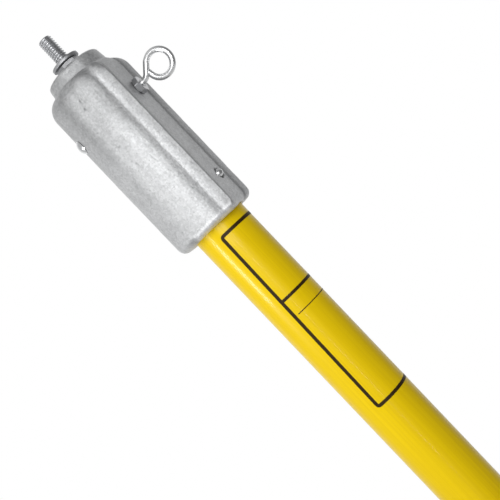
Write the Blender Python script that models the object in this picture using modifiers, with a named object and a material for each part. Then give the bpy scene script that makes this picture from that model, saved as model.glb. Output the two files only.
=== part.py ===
"""Insulated pole: a foam-filled fibreglass pole with a cast aluminium head.

The head carries a threaded stud for a tool, with a jam nut and a seat washer that run up
against the tool, and an eye bolt with its lock nut on a flat at the side.

Units are metres and +Z is up. The origin is the middle of the butt end's flat face, +Z runs
along the pole to the stud, and +X is the direction that the eye bolt points in. Heights in
this file count from the casting's mouth, and every piece hangs on an empty that stands there.
"""

from math import acos, cos, degrees, pi, radians, sin, sqrt, tan

import bmesh
import bpy
from mathutils import Matrix, Vector

MM = 0.001
INCH = 25.4 * MM
CLEARANCE = 0.3 * MM  # left between two pieces that seat on each other

# Pole
POLE_OD = 1.25 * INCH
POLE_WALL = 3.2 * MM
POLE_LENGTH = 48.0 * INCH
TIP_PLUG_PAST_RIVET = 11.5 * MM  # from the lower rivets to the plug's inner end
BUTT_PLUG_LENGTH = 22.0 * MM
PLUG_CHAMFER = 1.0 * MM

# Butt cap
CAP_WALL = 1.9 * MM
CAP_FLOOR = 3.4 * MM
CAP_SKIRT = 38.0 * MM
CAP_EDGE = 1.6 * MM
CAP_BAND_COUNT = 3
CAP_BAND_PITCH = 7.0 * MM
CAP_BAND_WIDTH = 3.0 * MM
CAP_BAND_RISE = 0.7 * MM

# Head casting, with heights above its mouth
SOCKET_DEPTH = 92.0 * MM
HEAD_RADIUS = 25.0 * MM
MOUTH_FILLET = 4.6 * MM
MOUTH_LEAD = 1.2 * MM
SHOULDER_DROP = 8.6 * MM
SHOULDER_FULLNESS = 0.15  # 0 rounds the shoulder as a quarter ellipse, near 1 it is square
STRIP_FULLNESS = 0.45  # what the middle of a rib or strip has more
NOSE_RADIUS = 17.2 * MM
NOSE_DRAFT = 0.7 * MM
NOSE_STAND = 6.6 * MM  # of the nose above the shoulder
SHOULDER_FALL = 1.4 * MM  # how much lower the shoulder lies over the eye bolt
NOSE_FILLET = 1.4 * MM
NOSE_WALL = 7.35 * MM
POCKET_RADIUS = 10.0 * MM  # of the hollow for the stud's head, above the socket
POCKET_ROOM = 3.5 * MM  # left below the stud's head

# Panels of the casting: angles from the middle of the front panel, towards the eye bolt
FRONT_PANEL_ANGLE = -71.5  # where that middle lies, in degrees from +X
RIB_LEFT_ANGLE = -21.0
RIB_RIGHT_ANGLE = -5.0
RIB_SINK = 0.75 * MM
GROOVE_ANGLE = 15.5
GROOVE_SINK = 1.4 * MM
RIDGE_SINK = 0.3 * MM
RIDGE_BLEND = 8.0  # degrees over which the back panel's ridge fades into the round
SOFT_CORNER_ANGLE = -39.0
PANEL_SINK = 0.9 * MM

# Flat for the eye bolt, and the crease behind it
FLAT_DISTANCE = 19.1 * MM
CREASE_ANGLE = 23.2
CREASE_TURN = 13.0

# Tool stud: a 5/16-18 hexagon head screw, tapped through the nose from inside
STUD_DIAMETER = 5.0 / 16.0 * INCH
STUD_LENGTH = 1.25 * INCH
STUD_TIP_CHAMFER = 0.7 * MM
STUD_HEAD_FLATS = 0.5 * INCH
STUD_HEAD_HEIGHT = 13.0 / 64.0 * INCH
LOCK_WASHER_WIDTH = 3.0 * MM
LOCK_WASHER_THICKNESS = 2.0 * MM
LOCK_WASHER_SLOT = 1.2 * MM

# Jam nut and seat washer on the stud
JAM_NUT_FLATS = 0.5 * INCH
JAM_NUT_THICKNESS = 5.0 / 32.0 * INCH
SEAT_WASHER_OD = 16.6 * MM
SEAT_WASHER_BORE = 8.7 * MM
SEAT_WASHER_THICKNESS = 1.65 * MM
SEAT_WASHER_EDGE = 0.25 * MM
NUT_LEAD = 0.5 * MM  # countersink at both ends of a nut's bore
JAM_NUT_TURN = 28.7  # degrees that a corner stands round from +X

# Eye bolt: bent wire with a rolled number 8-32 thread
EYE_HEIGHT = 79.6 * MM
EYE_WIRE = 3.4 * MM
EYE_THREAD = 0.164 * INCH
EYE_THREAD_REACH = 10.0 * MM  # distance of its inner end from the pole's axis
EYE_THREAD_OUT = 2.2 * MM  # thread standing out past the lock nut
EYE_RING_OD = 17.6 * MM
EYE_RING_DISTANCE = 36.4 * MM
EYE_RING_LIFT = 0.45 * MM
EYE_BEND_RADIUS = 5.0 * MM
EYE_STRAIGHT = 1.0 * MM  # plain wire between the thread and the bend, at least
EYE_TAPER = 0.5 * MM  # over which the thread runs out, and its inner end is chamfered
EYE_SLOPE = 46.0
EYE_CLOSE_ANGLE = -171.0
EYE_NUT_FLATS = 11.0 / 32.0 * INCH
EYE_NUT_THICKNESS = 0.125 * INCH
EYE_NUT_TURN = 19.0  # degrees that its corners stand off the vertical, towards the front

# Rivets that hold the casting to the pole
RIVET_SHANK = 3.0 / 16.0 * INCH
RIVET_GRIP_PAST_TUBE = 4.5 * MM
UPPER_RIVET_HEIGHT = 76.9 * MM
UPPER_RIVET_ANGLES = (-146.5, 146.5)
UPPER_HEAD_RADIUS = 4.2 * MM
UPPER_HEAD_RISE = 2.0 * MM
UPPER_SPOT_DEPTH = 0.4 * MM
LOWER_RIVET_HEIGHT = 19.2 * MM
LOWER_RIVET_ANGLES = (3.0, 183.0)
LOWER_HEAD_RADIUS = 2.5 * MM
LOWER_HEAD_RISE = 2.0 * MM
LOWER_SPOT_DEPTH = 1.4 * MM
LOWER_SPOT_CHAMFER = 0.5 * MM
SPOT_ROOM = 0.9 * MM  # radius that a spot face has more than the rivet head in it

# Facets
ROUND_STEPS = 64
MIDDLE_STEPS = 48
SMALL_STEPS = 32
HOLE_STEPS = 24
SECTION_STEP = 4.0  # degrees between the casting's columns, beside its edges
CUT_PAST = 2.0 * MM  # how far a cutter runs past the face it opens

# Worked out from the sizes above
POLE_RADIUS = POLE_OD / 2
POLE_BORE_RADIUS = POLE_RADIUS - POLE_WALL
CORE_RADIUS = POLE_BORE_RADIUS - CLEARANCE
SOCKET_RADIUS = POLE_RADIUS + CLEARANCE
TUBE_TOP = SOCKET_DEPTH - CLEARANCE
TUBE_BOTTOM = TUBE_TOP - POLE_LENGTH
BUTT_FACE = TUBE_BOTTOM - CLEARANCE - CAP_FLOOR
STUD_SEAT = SOCKET_DEPTH + POCKET_ROOM + STUD_HEAD_HEIGHT
STUD_TIP = STUD_SEAT + STUD_LENGTH
POCKET_CEILING = STUD_SEAT + 2 * CLEARANCE + LOCK_WASHER_THICKNESS
NOSE_HEIGHT = POCKET_CEILING + NOSE_WALL
SHOULDER_HEIGHT = NOSE_HEIGHT - NOSE_STAND
STUD_RADIUS = STUD_DIAMETER / 2
EYE_NUT_SEAT = FLAT_DISTANCE + CLEARANCE
EYE_HOLE_RADIUS = EYE_THREAD / 2 + CLEARANCE
RIVET_HOLE_RADIUS = RIVET_SHANK / 2 + CLEARANCE
RIVET_INNER_END = POLE_BORE_RADIUS - RIVET_GRIP_PAST_TUBE


def clear_scene():
    for item in list(bpy.data.objects):
        bpy.data.objects.remove(item, do_unlink=True)
    for collection in list(bpy.data.collections):
        bpy.data.collections.remove(collection)


def new_collection(name):
    collection = bpy.data.collections.new(name)
    bpy.context.scene.collection.children.link(collection)
    return collection


clear_scene()
PARTS = new_collection("insulated_pole")
CUTTERS = new_collection("cutters")
MOUTH_DATUM = bpy.data.objects.new("mouth_datum", None)
MOUTH_DATUM.location = (0.0, 0.0, -BUTT_FACE)
PARTS.objects.link(MOUTH_DATUM)


def principled(name, colour, roughness, metallic):
    material = bpy.data.materials.new(name)
    material.use_nodes = True
    shader = material.node_tree.nodes["Principled BSDF"]
    shader.inputs["Base Color"].default_value = (*colour, 1.0)
    shader.inputs["Roughness"].default_value = roughness
    shader.inputs["Metallic"].default_value = metallic
    material.diffuse_color = (*colour, 1.0)
    return material


CAST_ALUMINIUM = principled("cast_aluminium", (0.50, 0.50, 0.50), 0.55, 0.9)
ZINC_PLATE = principled("zinc_plated_steel", (0.62, 0.62, 0.63), 0.25, 1.0)
RIVET_ALUMINIUM = principled("rivet_aluminium", (0.72, 0.72, 0.73), 0.28, 1.0)
YELLOW_FIBREGLASS = principled("yellow_fibreglass", (0.91, 0.66, 0.01), 0.22, 0.0)
CORE_FOAM = principled("core_foam", (0.78, 0.69, 0.45), 0.9, 0.0)
PLUG_RESIN = principled("plug_resin", (0.55, 0.47, 0.28), 0.6, 0.0)
BLACK_RUBBER = principled("black_rubber", (0.02, 0.02, 0.02), 0.7, 0.0)


def add_object(name, shape):
    item = bpy.data.objects.new(name, shape)
    PARTS.objects.link(item)
    item.parent = MOUTH_DATUM
    return item


def finish_part(item, material, sharp_degrees=35.0):
    item.data.materials.clear()
    item.data.materials.append(material)
    item.data.shade_smooth()
    item.data.set_sharp_from_angle(angle=radians(sharp_degrees))
    return item


def as_cutter(item):
    """Puts an object with the cutters, out of the render and out of the built parts."""
    for collection in list(item.users_collection):
        collection.objects.unlink(item)
    CUTTERS.objects.link(item)
    item.hide_render = True
    item.display_type = "WIRE"
    return item


def turned(name, profile, steps=ROUND_STEPS):
    """A solid of revolution about its own Z: (radius, height) points, outer side running down."""
    mesh = bpy.data.meshes.new(name)
    points = [(radius, 0.0, height) for radius, height in profile]
    closed = min(radius for radius, height in profile) > 0.0
    edges = [(i, i + 1) for i in range(len(points) - 1)]
    if closed:
        edges.append((len(points) - 1, 0))
    mesh.from_pydata(points, edges, [])
    item = add_object(name, mesh)
    screw = item.modifiers.new("turn", "SCREW")
    screw.axis = "Z"
    screw.steps = steps
    screw.render_steps = steps
    screw.use_merge_vertices = True
    screw.merge_threshold = 0.00001
    screw.use_smooth_shade = True
    return item


def applied(item):
    """Turns an object's evaluated shape into its own mesh, so that it can be cut and shaded."""
    bpy.context.view_layer.update()
    evaluated = item.evaluated_get(bpy.context.evaluated_depsgraph_get())
    mesh = bpy.data.meshes.new_from_object(evaluated)
    mesh.name = item.name
    item.modifiers.clear()
    item.data = mesh
    return item


def rod(name, radius, bottom, top, steps=SMALL_STEPS):
    """A plain round bar along its own Z, closed at both ends."""
    mesh = bpy.data.meshes.new(name)
    shape = bmesh.new()
    place = Matrix.Translation((0.0, 0.0, (bottom + top) / 2))
    bmesh.ops.create_cone(shape, cap_ends=True, segments=steps, radius1=radius, radius2=radius,
                          depth=top - bottom, matrix=place)
    shape.to_mesh(mesh)
    shape.free()
    return add_object(name, mesh)


def combine(item, tool, operation):
    """One Boolean step, with the second object kept as a hidden cutter."""
    as_cutter(tool)
    step = item.modifiers.new(operation.lower(), "BOOLEAN")
    step.operation = operation
    step.object = tool
    step.solver = "EXACT"
    return item


def pointing(item, angle_degrees, height, spin_degrees=0.0):
    """Lays an object's own Z along a radius of the pole, at an angle from +X, and spins the
    object about that radius."""
    turn = Matrix.Rotation(radians(angle_degrees), 4, "Z")
    tip = Matrix.Rotation(pi / 2, 4, "Y")
    spin = Matrix.Rotation(radians(spin_degrees), 4, "Z")
    item.matrix_local = Matrix.Translation((0.0, 0.0, height)) @ turn @ tip @ spin
    return item


def arc(centre_r, centre_z, radius, start, end, count):
    """Points of a fillet in a turned profile, from one angle to another in degrees."""
    points = []
    for i in range(count + 1):
        angle = radians(start + (end - start) * i / count)
        points.append((centre_r + radius * cos(angle), centre_z + radius * sin(angle)))
    return points


# Outline of the casting


def flat_edge_angle():
    """Where the eye flat meets the ridge of the front panel, in degrees from +X."""
    return degrees(acos(FLAT_DISTANCE / (HEAD_RADIUS - RIDGE_SINK)))


def panel_marks():
    """(angle from the panel's middle, radius) at the edges of the panel's rib and strips."""
    ridge_angle = -FRONT_PANEL_ANGLE - flat_edge_angle()
    return (
        (SOFT_CORNER_ANGLE, HEAD_RADIUS),
        (RIB_LEFT_ANGLE, HEAD_RADIUS - PANEL_SINK),
        (RIB_RIGHT_ANGLE, HEAD_RADIUS - RIB_SINK),
        (GROOVE_ANGLE, HEAD_RADIUS - GROOVE_SINK),
        (ridge_angle, HEAD_RADIUS - RIDGE_SINK),
        (ridge_angle + RIDGE_BLEND, HEAD_RADIUS),
    )


def panel_radius(angle):
    """Radius of a cast panel at an angle in degrees from its middle, before the eye flat.

    A panel has a low rib in its middle. On one side the round sinks to it, on the other it
    slopes into a groove, from where a strip climbs to a ridge.
    """
    marks = panel_marks()
    if angle <= marks[0][0] or angle >= marks[-1][0]:
        return HEAD_RADIUS
    for (a, low), (b, high) in zip(marks, marks[1:]):
        if a <= angle <= b:
            share = (angle - a) / (b - a)
            if b < GROOVE_ANGLE:
                share = (1 - cos(pi * share)) / 2
            return low + (high - low) * share
    return HEAD_RADIUS


def wrapped(angle):
    return (angle + 180.0) % 360.0 - 180.0


def panel_angle(angle):
    """Angle from the middle of the nearer panel. The back one mirrors the front one across
    the mould's parting plane."""
    from_front = wrapped(angle - FRONT_PANEL_ANGLE)
    if abs(from_front) > 90.0:
        return wrapped(180.0 - from_front)
    return from_front


def strip_arch(angle):
    """1 along the middle of a panel's rib and of the strip beside it, 0 at their edges."""
    ridge_angle = -FRONT_PANEL_ANGLE - flat_edge_angle()
    edges = (RIB_LEFT_ANGLE, GROOVE_ANGLE, ridge_angle)
    for low, high in zip(edges, edges[1:]):
        if low < angle < high:
            return sqrt(sin(pi * (angle - low) / (high - low)))
    return 0.0


def head_radius(angle):
    """Radius of the casting's full section at an angle in degrees from +X."""
    angle = wrapped(angle)
    radius = panel_radius(panel_angle(angle))
    if -90.0 < angle <= CREASE_ANGLE:
        radius = min(radius, FLAT_DISTANCE / max(cos(radians(angle)), 0.05))
    elif CREASE_ANGLE < angle < 60.0:
        radius = min(radius, flank_radius(angle))
    return radius


def flank_radius(angle):
    """The wall behind the crease turns outwards from the flat by a small angle."""
    crease_radius = FLAT_DISTANCE / cos(radians(CREASE_ANGLE))
    distance = crease_radius * cos(radians(CREASE_ANGLE + CREASE_TURN))
    return distance / max(cos(radians(angle + CREASE_TURN)), 0.05)


def flank_end_angle():
    """Where the flank behind the crease reaches the casting's full radius."""
    crease_radius = FLAT_DISTANCE / cos(radians(CREASE_ANGLE))
    distance = crease_radius * cos(radians(CREASE_ANGLE + CREASE_TURN))
    return degrees(acos(min(distance / HEAD_RADIUS, 1.0))) - CREASE_TURN


def section_angles():
    """Column angles: an even spread, with the section's own edges set exactly."""
    edges = [CREASE_ANGLE, flank_end_angle()]
    for mark, radius in panel_marks():
        front = wrapped(FRONT_PANEL_ANGLE + mark)
        if front <= -flat_edge_angle() + 0.01:
            edges.append(front)
        edges.append(wrapped(FRONT_PANEL_ANGLE + 180.0 - mark))
    angles = list(edges)
    count = round(360.0 / SECTION_STEP)
    for i in range(count):
        # Half a step off the axes, so that no column runs through the middle of a hole
        angle = wrapped((i + 0.5) * 360.0 / count)
        nearest = min(abs(wrapped(angle - edge)) for edge in edges)
        if nearest > 0.4 * SECTION_STEP:
            angles.append(angle)
    return sorted(angles)


def head_levels():
    """(height above the mouth, share of the full section, inset, share of the shoulder's fall)
    for each ring of the loft.

    At share 1 a ring has the panelled section, at share 0 it is round and as wide as the nose.
    """
    levels = []
    fillet_steps = 4
    for i in range(fillet_steps + 1):
        angle = pi / 2 * i / fillet_steps
        levels.append((MOUTH_FILLET * (1 - cos(angle)), 1.0,
                       MOUTH_FILLET * (1 - sin(angle)), 0.0))
    levels.append((SHOULDER_HEIGHT / 2, 1.0, 0.0, 0.0))
    shoulder_steps = 7
    for i in range(shoulder_steps + 1):
        angle = pi / 2 * i / shoulder_steps
        height = SHOULDER_HEIGHT - SHOULDER_DROP * (1 - sin(angle))
        levels.append((height, max(cos(angle), 0.0), 0.0, 1.0))
    rim_steps = 4
    for i in range(rim_steps + 1):
        angle = pi / 2 * i / rim_steps
        height = NOSE_HEIGHT - NOSE_FILLET * (1 - sin(angle))
        levels.append((height, 0.0, NOSE_DRAFT + NOSE_FILLET * (1 - cos(angle)), 0.0))
    return levels


def loft(name, rings):
    """A closed skin over rings of equal point count, from the lowest ring to the highest."""
    mesh = bpy.data.meshes.new(name)
    shape = bmesh.new()
    rows = [[shape.verts.new(point) for point in ring] for ring in rings]
    count = len(rows[0])
    for low, high in zip(rows, rows[1:]):
        for i in range(count):
            j = (i + 1) % count
            shape.faces.new((low[i], low[j], high[j], high[i]))
    shape.faces.new(list(reversed(rows[0])))
    shape.faces.new(rows[-1])
    # Triangles stay flat where the section twists, which the cuts made later rely on
    bmesh.ops.triangulate(shape, faces=shape.faces)
    bmesh.ops.recalc_face_normals(shape, faces=shape.faces)
    shape.to_mesh(mesh)
    shape.free()
    return add_object(name, mesh)


def build_head_casting():
    angles = section_angles()
    rings = []
    for height, share, inset, fall in head_levels():
        ring = []
        for angle in angles:
            full = head_radius(angle)
            roundness = 1 - SHOULDER_FULLNESS - STRIP_FULLNESS * strip_arch(panel_angle(angle))
            radius = NOSE_RADIUS + (full - NOSE_RADIUS) * share ** roundness - inset
            turn = radians(angle)
            drop = SHOULDER_FALL * fall * (1 + cos(turn)) / 2
            ring.append((radius * cos(turn), radius * sin(turn), height - drop))
        rings.append(ring)
    casting = loft("head_casting", rings)

    socket_profile = (
        (0.0, POCKET_CEILING),
        (POCKET_RADIUS, POCKET_CEILING),
        (POCKET_RADIUS, SOCKET_DEPTH),
        (SOCKET_RADIUS, SOCKET_DEPTH),
        (SOCKET_RADIUS, MOUTH_LEAD),
        (SOCKET_RADIUS + MOUTH_LEAD + CUT_PAST, -CUT_PAST),
        (0.0, -CUT_PAST),
    )
    combine(casting, turned("socket_cutter", socket_profile), "DIFFERENCE")
    stud_hole = rod("stud_hole_cutter", STUD_RADIUS + CLEARANCE,
                    POCKET_CEILING - CUT_PAST, NOSE_HEIGHT + CUT_PAST)
    combine(casting, stud_hole, "DIFFERENCE")
    eye_hole = rod("eye_hole_cutter", EYE_HOLE_RADIUS, POLE_RADIUS, FLAT_DISTANCE + CUT_PAST)
    combine(casting, pointing(eye_hole, 0.0, EYE_HEIGHT), "DIFFERENCE")
    for angle, height, seat, rise, spot, chamfer in rivet_places():
        surface = head_radius(angle)
        hole_profile = (
            (0.0, surface + CUT_PAST),
            (spot + chamfer + CUT_PAST, surface + CUT_PAST),
            (spot, surface - chamfer),
            (spot, seat),
            (RIVET_HOLE_RADIUS, seat),
            (RIVET_HOLE_RADIUS, POLE_RADIUS),
            (0.0, POLE_RADIUS),
        )
        stepped_hole = turned("rivet_hole_cutter", hole_profile, SMALL_STEPS)
        combine(casting, pointing(stepped_hole, angle, height), "DIFFERENCE")
    applied(casting)
    return finish_part(casting, CAST_ALUMINIUM, 32.0)


# Rivets


def rivet_places():
    """(angle, height, seat radius, head rise, spot radius, spot chamfer) of each rivet."""
    places = []
    for angle in UPPER_RIVET_ANGLES:
        seat = head_radius(angle) - UPPER_SPOT_DEPTH
        places.append((angle, UPPER_RIVET_HEIGHT, seat, UPPER_HEAD_RISE,
                       UPPER_HEAD_RADIUS + SPOT_ROOM / 2, 0.0))
    for angle in LOWER_RIVET_ANGLES:
        seat = head_radius(angle) - LOWER_SPOT_DEPTH
        places.append((angle, LOWER_RIVET_HEIGHT, seat, LOWER_HEAD_RISE,
                       LOWER_HEAD_RADIUS + SPOT_ROOM, LOWER_SPOT_CHAMFER))
    return places


def build_rivet(name, angle, height, seat, dome_radius, rise):
    """A round-head rivet: the dome is the cap of a sphere that stands on the seat."""
    base = seat + CLEARANCE
    sphere = (dome_radius ** 2 + rise ** 2) / (2 * rise)
    half = degrees(acos((sphere - rise) / sphere))
    dome = arc(0.0, base + rise - sphere, sphere, 90.0, 90.0 - half, 6)
    profile = [(0.0, dome[0][1])] + dome[1:]
    profile += [
        (RIVET_SHANK / 2, base),
        (RIVET_SHANK / 2, RIVET_INNER_END),
        (0.0, RIVET_INNER_END),
    ]
    rivet = applied(turned(name, profile, SMALL_STEPS))
    pointing(rivet, angle, height)
    return finish_part(rivet, RIVET_ALUMINIUM)


def build_rivets():
    names = ("upper_rivet_left", "upper_rivet_back", "lower_rivet_front", "lower_rivet_back")
    heads = (UPPER_HEAD_RADIUS, UPPER_HEAD_RADIUS, LOWER_HEAD_RADIUS, LOWER_HEAD_RADIUS)
    for name, head, place in zip(names, heads, rivet_places()):
        angle, height, seat, rise, spot, chamfer = place
        build_rivet(name, angle, height, seat, head, rise)


# Pole


def radial_holes(item, inner, outer):
    """Cuts the rivet holes and the eye bolt's hole through a wall between two radii."""
    for angle, height, seat, rise, spot, chamfer in rivet_places():
        hole = rod("wall_hole_cutter", RIVET_HOLE_RADIUS, inner, outer, HOLE_STEPS)
        combine(item, pointing(hole, angle, height), "DIFFERENCE")
    hole = rod("wall_hole_cutter", EYE_HOLE_RADIUS, inner, outer, HOLE_STEPS)
    combine(item, pointing(hole, 0.0, EYE_HEIGHT), "DIFFERENCE")


def build_pole_tube():
    profile = (
        (POLE_RADIUS, TUBE_TOP),
        (POLE_RADIUS, TUBE_BOTTOM),
        (POLE_BORE_RADIUS, TUBE_BOTTOM),
        (POLE_BORE_RADIUS, TUBE_TOP),
    )
    tube = turned("pole_tube", profile)
    radial_holes(tube, POLE_BORE_RADIUS - CUT_PAST, POLE_RADIUS + CUT_PAST)
    applied(tube)
    return finish_part(tube, YELLOW_FIBREGLASS)


def plug_profile(bottom, top):
    return (
        (0.0, top),
        (CORE_RADIUS - PLUG_CHAMFER, top),
        (CORE_RADIUS, top - PLUG_CHAMFER),
        (CORE_RADIUS, bottom + PLUG_CHAMFER),
        (CORE_RADIUS - PLUG_CHAMFER, bottom),
        (0.0, bottom),
    )


def build_core():
    """The plugs at both ends seal the foam, and the upper one backs the rivets."""
    tip_bottom = LOWER_RIVET_HEIGHT - TIP_PLUG_PAST_RIVET
    tip = turned("tip_plug", plug_profile(tip_bottom, TUBE_TOP), SMALL_STEPS)
    inner = min(RIVET_INNER_END, EYE_THREAD_REACH) - CLEARANCE
    radial_holes(tip, inner, CORE_RADIUS + CUT_PAST)
    applied(tip)
    finish_part(tip, PLUG_RESIN)

    butt_top = TUBE_BOTTOM + BUTT_PLUG_LENGTH
    butt = turned("butt_plug", plug_profile(TUBE_BOTTOM, butt_top), SMALL_STEPS)
    finish_part(applied(butt), PLUG_RESIN)

    foam_profile = (
        (0.0, tip_bottom - CLEARANCE),
        (CORE_RADIUS, tip_bottom - CLEARANCE),
        (CORE_RADIUS, butt_top + CLEARANCE),
        (0.0, butt_top + CLEARANCE),
    )
    foam = turned("foam_core", foam_profile, SMALL_STEPS)
    finish_part(applied(foam), CORE_FOAM)


def build_butt_cap():
    """A moulded cup pushed over the butt, with raised bands round its skirt."""
    bore = POLE_RADIUS + CLEARANCE
    outer = bore + CAP_WALL
    lip = CAP_WALL / 3
    top = BUTT_FACE + CAP_SKIRT
    floor = BUTT_FACE + CAP_FLOOR
    profile = [
        (0.0, floor),
        (bore, floor),
        (bore, top - lip),
        (bore + lip, top),
        (outer - lip, top),
        (outer, top - lip),
    ]
    for i in range(CAP_BAND_COUNT):
        middle = top - CAP_BAND_PITCH * (i + 1)
        half = CAP_BAND_WIDTH / 2
        profile += [
            (outer, middle + half),
            (outer + CAP_BAND_RISE, middle + half - CAP_BAND_RISE),
            (outer + CAP_BAND_RISE, middle - half + CAP_BAND_RISE),
            (outer, middle - half),
        ]
    profile += arc(outer - CAP_EDGE, BUTT_FACE + CAP_EDGE, CAP_EDGE, 0.0, -90.0, 4)
    profile.append((0.0, BUTT_FACE))
    return finish_part(applied(turned("butt_cap", profile, MIDDLE_STEPS)), BLACK_RUBBER)


# Threaded pieces


def hex_prism(name, flats, bottom, top):
    """A hexagon bar along Z, with a corner pointing along +X."""
    return rod(name, flats / sqrt(3.0), bottom, top, 6)


def chamfered_hexagon(name, flats, bottom, top, both_ends):
    """A hexagon bar whose corners are turned off at 30 degrees, as on a nut or screw head."""
    bar = hex_prism(name, flats, bottom, top)
    corner = flats / sqrt(3.0)
    drop = (corner - flats / 2) * tan(radians(30.0))
    reach = corner + CUT_PAST
    slope = CUT_PAST * tan(radians(30.0))
    envelope = [(0.0, top), (flats / 2, top), (reach, top - drop - slope)]
    if both_ends:
        envelope += [(reach, bottom + drop + slope), (flats / 2, bottom), (0.0, bottom)]
    else:
        envelope += [(reach, bottom - CUT_PAST), (0.0, bottom - CUT_PAST)]
    combine(bar, turned(name + "_envelope", envelope, MIDDLE_STEPS), "INTERSECT")
    return bar


def build_nut(name, flats, thickness, thread_radius, bottom):
    nut = chamfered_hexagon(name, flats, bottom, bottom + thickness, True)
    bore = thread_radius + CLEARANCE
    hole = (
        (0.0, bottom + thickness + CUT_PAST),
        (bore + NUT_LEAD + CUT_PAST, bottom + thickness + CUT_PAST),
        (bore, bottom + thickness - NUT_LEAD),
        (bore, bottom + NUT_LEAD),
        (bore + NUT_LEAD + CUT_PAST, bottom - CUT_PAST),
        (0.0, bottom - CUT_PAST),
    )
    combine(nut, turned(name + "_bore", hole, SMALL_STEPS), "DIFFERENCE")
    return nut


def build_tool_stud():
    head = chamfered_hexagon("tool_stud", STUD_HEAD_FLATS, STUD_SEAT - STUD_HEAD_HEIGHT,
                             STUD_SEAT, False)
    shank_profile = (
        (0.0, STUD_TIP),
        (STUD_RADIUS - STUD_TIP_CHAMFER, STUD_TIP),
        (STUD_RADIUS, STUD_TIP - STUD_TIP_CHAMFER),
        (STUD_RADIUS, STUD_SEAT - STUD_HEAD_HEIGHT / 2),
        (0.0, STUD_SEAT - STUD_HEAD_HEIGHT / 2),
    )
    combine(head, turned("stud_shank", shank_profile, SMALL_STEPS), "UNION")
    return finish_part(applied(head), ZINC_PLATE)


def build_stud_lock_washer():
    """A spring washer: a square-section ring with a slot cut through it."""
    bore = STUD_RADIUS + CLEARANCE
    bottom = STUD_SEAT + CLEARANCE
    top = bottom + LOCK_WASHER_THICKNESS
    profile = (
        (bore + LOCK_WASHER_WIDTH, top),
        (bore + LOCK_WASHER_WIDTH, bottom),
        (bore, bottom),
        (bore, top),
    )
    washer = turned("stud_lock_washer", profile, SMALL_STEPS)
    mesh = bpy.data.meshes.new("slot_cutter")
    shape = bmesh.new()
    bmesh.ops.create_cube(shape, size=1.0)
    reach = LOCK_WASHER_WIDTH + 2 * CUT_PAST
    size = (reach, LOCK_WASHER_SLOT, LOCK_WASHER_THICKNESS + 2 * CUT_PAST)
    bmesh.ops.scale(shape, vec=size, verts=shape.verts)
    middle = Vector((bore + LOCK_WASHER_WIDTH / 2, 0.0, (bottom + top) / 2))
    bmesh.ops.translate(shape, vec=middle, verts=shape.verts)
    shape.to_mesh(mesh)
    shape.free()
    combine(washer, add_object("slot_cutter", mesh), "DIFFERENCE")
    return finish_part(applied(washer), ZINC_PLATE)


def build_jam_nut():
    nut = build_nut("jam_nut", JAM_NUT_FLATS, JAM_NUT_THICKNESS, STUD_RADIUS,
                    NOSE_HEIGHT + CLEARANCE)
    applied(nut).rotation_euler.z = radians(JAM_NUT_TURN)
    return finish_part(nut, ZINC_PLATE)


def build_seat_washer():
    bottom = NOSE_HEIGHT + CLEARANCE + JAM_NUT_THICKNESS + CLEARANCE
    top = bottom + SEAT_WASHER_THICKNESS
    outer = SEAT_WASHER_OD / 2
    edge = SEAT_WASHER_EDGE
    profile = (
        (outer - edge, top),
        (outer, top - edge),
        (outer, bottom + edge),
        (outer - edge, bottom),
        (SEAT_WASHER_BORE / 2, bottom),
        (SEAT_WASHER_BORE / 2, top),
    )
    return finish_part(applied(turned("seat_washer", profile, MIDDLE_STEPS)), ZINC_PLATE)


# Eye bolt


def eye_path():
    """Middle line of the eye bolt's wire in its own X and Z, with a thickness for each point.

    The threaded shank runs out along X, bends up into a straight slope, and the slope runs
    on as the ring, which goes over the top and round until its end meets the slope again.
    """
    ring = (EYE_RING_OD - EYE_WIRE) / 2
    centre_x, centre_z = EYE_RING_DISTANCE, EYE_RING_LIFT
    slope = radians(EYE_SLOPE)
    # The slope touches the ring where the ring runs at the slope's own angle
    touch_x = centre_x - ring * sin(slope)
    touch_z = centre_z + ring * cos(slope)
    # Following the slope back down to the shank's line gives the corner that the bend rounds
    corner_x = touch_x - touch_z / tan(slope)
    setback = EYE_BEND_RADIUS * tan(slope / 2)
    thread_end = EYE_NUT_SEAT + EYE_NUT_THICKNESS + EYE_THREAD_OUT
    thread_end = min(thread_end, corner_x - setback - EYE_STRAIGHT)
    thick = EYE_THREAD / EYE_WIRE
    chamfered = (EYE_THREAD - 2 * EYE_TAPER) / EYE_WIRE
    points = [
        (EYE_THREAD_REACH, 0.0, chamfered),
        (EYE_THREAD_REACH + EYE_TAPER, 0.0, thick),
        (thread_end - EYE_TAPER, 0.0, thick),
        (thread_end, 0.0, 1.0),
    ]
    bend_steps = 5
    for i in range(bend_steps + 1):
        angle = slope * i / bend_steps
        points.append((corner_x - setback + EYE_BEND_RADIUS * sin(angle),
                       EYE_BEND_RADIUS * (1 - cos(angle)), 1.0))
    start = degrees(pi / 2 + slope)
    ring_steps = 40
    for i in range(ring_steps + 1):
        angle = radians(start + (EYE_CLOSE_ANGLE - start) * i / ring_steps)
        points.append((centre_x + ring * cos(angle), centre_z + ring * sin(angle), 1.0))
    return points


def build_eye_bolt():
    curve = bpy.data.curves.new("eye_bolt", "CURVE")
    curve.dimensions = "3D"
    curve.bevel_depth = EYE_WIRE / 2
    curve.bevel_resolution = 4
    curve.use_fill_caps = True
    path = eye_path()
    spline = curve.splines.new("POLY")
    spline.points.add(len(path) - 1)
    for point, (x, z, thickness) in zip(spline.points, path):
        point.co = (x, 0.0, z, 1.0)
        point.radius = thickness
    curve.materials.append(ZINC_PLATE)
    item = add_object("eye_bolt", curve)
    item.location = (0.0, 0.0, EYE_HEIGHT)
    return item


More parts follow.
